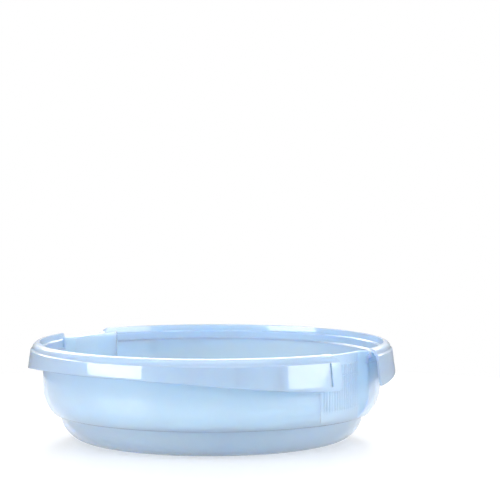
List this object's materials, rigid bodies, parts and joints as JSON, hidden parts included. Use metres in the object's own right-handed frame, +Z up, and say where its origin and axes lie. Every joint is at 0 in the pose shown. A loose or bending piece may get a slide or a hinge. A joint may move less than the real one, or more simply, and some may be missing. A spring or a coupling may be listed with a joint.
{
  "type": "bottle sterilizer base",
  "caption": "Round open base of a microwave steam steriliser for feeding bottles, with a skirted rim, two finger grips and a lift-out bottle rack.",
  "frame": {"origin": "centre of the underside, on the surface that the bowl stands on", "axes": "+Z up, out of the open bowl; the two finger grips lie on the X axis; +Y towards the rear half of the rim"},
  "size_m": [0.2898, 0.2902, 0.0778],
  "materials": {
    "bowl_plastic": "translucent light blue polypropylene, moulded, glossy",
    "rack_plastic": "natural white polypropylene, moulded, satin"
  },
  "bodies": {
    "bowl": {"floor_pan": "bowl_plastic", "reservoir_corner": "bowl_plastic", "reservoir_wall": "bowl_plastic", "bowl_wall_front": "bowl_plastic", "bowl_wall_rear": "bowl_plastic", "grip_right": "bowl_plastic", "grip_left": "bowl_plastic", "rim_front": "bowl_plastic", "rim_rear": "bowl_plastic", "rim_gussets": "bowl_plastic"},
    "rack": {"rack_plate": "rack_plastic", "rack_edge": "rack_plastic", "bottle_pegs": "rack_plastic", "rack_handle": "rack_plastic"}
  },
  "joints": [
    {"name": "rack_lift", "type": "slide", "parent": "bowl", "child": "rack", "axis": [0, 0, 1], "range_m": [0, 0.08]}
  ]
}
